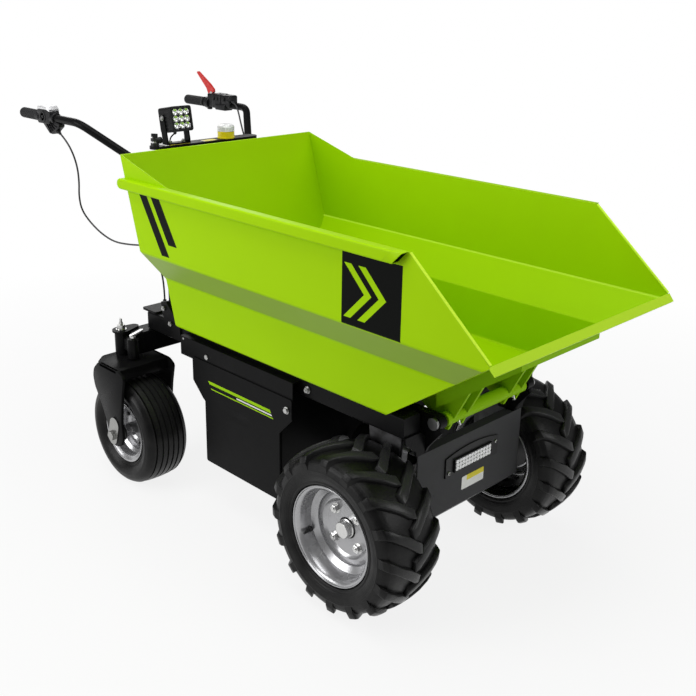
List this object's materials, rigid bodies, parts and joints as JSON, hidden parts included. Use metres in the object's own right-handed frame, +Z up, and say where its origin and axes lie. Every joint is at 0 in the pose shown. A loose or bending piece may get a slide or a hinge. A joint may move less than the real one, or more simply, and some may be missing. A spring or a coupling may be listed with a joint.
{
  "type": "electric walk-behind site dumper",
  "caption": "Electric walk-behind site dumper with a forward-tipping skip, driven wheels, swivelling rear casters and handlebars.",
  "frame": {"origin": "on the ground, under the middle of the overall length and width", "axes": "+X is the way it travels and tips, +Y its left side, +Z up"},
  "size_m": [1.763, 0.7946, 1.0646],
  "materials": {
    "skip_paint": "lime green gloss paint",
    "black_paint": "black semi-gloss paint",
    "cover_paint": "dark grey satin paint",
    "zinc": "zinc plated",
    "rim_silver": "silver paint",
    "tyre_rubber": "black rubber",
    "buffer_rubber": "black rubber",
    "grip_rubber": "black soft grip",
    "black_plastic": "black moulded plastic",
    "red_plastic": "red moulded plastic",
    "cast_housing": "cast aluminium",
    "battery_case": "battery case",
    "amber_lens": "yellow lens",
    "cable_jacket": "black cable jacket"
  },
  "bodies": {
    "chassis": {"battery_housing": "black_paint", "battery_pack": "battery_case", "beacon": "amber_lens", "brake_cable": "cable_jacket", "brake_lever": "red_plastic", "console": "black_plastic", "control_box": "black_plastic", "drive_motor": "cast_housing", "front_cover": "cover_paint", "grips": "grip_rubber", "handle_tubes": "black_paint", "head_caps": "black_paint", "key_switch": "zinc", "lamp_brackets": "black_paint", "lamp_lead": "cable_jacket", "light_bar": "black_plastic", "main_frame": "black_paint", "pivot_bar": "zinc", "plunger_handles": "zinc", "rear_beam": "black_paint", "side_covers": "black_paint", "side_skirts": "black_paint", "throttle_cable": "cable_jacket", "throttle_housing": "black_plastic", "transaxle": "cast_housing", "tub_buffers": "buffer_rubber", "upright_feet": "black_paint", "work_lamp": "black_plastic"},
    "tub": {"tub_shell": "skip_paint", "tub_rails": "skip_paint", "pivot_lugs": "skip_paint"},
    "drive_wheel_right": {"drive_tyre_right": "tyre_rubber", "drive_rim_right": "rim_silver", "drive_hub_right": "zinc"},
    "caster_fork_right": {"caster_fork_right": "black_paint", "caster_axle_right": "zinc"},
    "caster_wheel_right": {"caster_tyre_right": "tyre_rubber", "caster_rim_right": "rim_silver"},
    "drive_wheel_left": {"drive_tyre_left": "tyre_rubber", "drive_rim_left": "rim_silver", "drive_hub_left": "zinc"},
    "caster_fork_left": {"caster_fork_left": "black_paint", "caster_axle_left": "zinc"},
    "caster_wheel_left": {"caster_tyre_left": "tyre_rubber", "caster_rim_left": "rim_silver"}
  },
  "joints": [
    {"name": "tub_tip", "type": "hinge", "parent": "chassis", "child": "tub", "pos_m": [0.622, 0, 0.449], "axis": [0, 1, 0], "range_deg": [0, 75]},
    {"name": "drive_spin_right", "type": "hinge", "parent": "chassis", "child": "drive_wheel_right", "pos_m": [0.5, -0.287, 0.197], "axis": [0, 1, 0], "continuous": true},
    {"name": "caster_swivel_right", "type": "hinge", "parent": "chassis", "child": "caster_fork_right", "pos_m": [-0.4, -0.302, 0.35], "axis": [0, 0, 1], "continuous": true},
    {"name": "caster_spin_right", "type": "hinge", "parent": "caster_fork_right", "child": "caster_wheel_right", "pos_m": [-0.333, -0.302, 0.152], "axis": [0, 1, 0], "continuous": true},
    {"name": "drive_spin_left", "type": "hinge", "parent": "chassis", "child": "drive_wheel_left", "pos_m": [0.5, 0.287, 0.197], "axis": [0, 1, 0], "continuous": true},
    {"name": "caster_swivel_left", "type": "hinge", "parent": "chassis", "child": "caster_fork_left", "pos_m": [-0.4, 0.302, 0.35], "axis": [0, 0, 1], "continuous": true},
    {"name": "caster_spin_left", "type": "hinge", "parent": "caster_fork_left", "child": "caster_wheel_left", "pos_m": [-0.333, 0.302, 0.152], "axis": [0, 1, 0], "continuous": true}
  ]
}
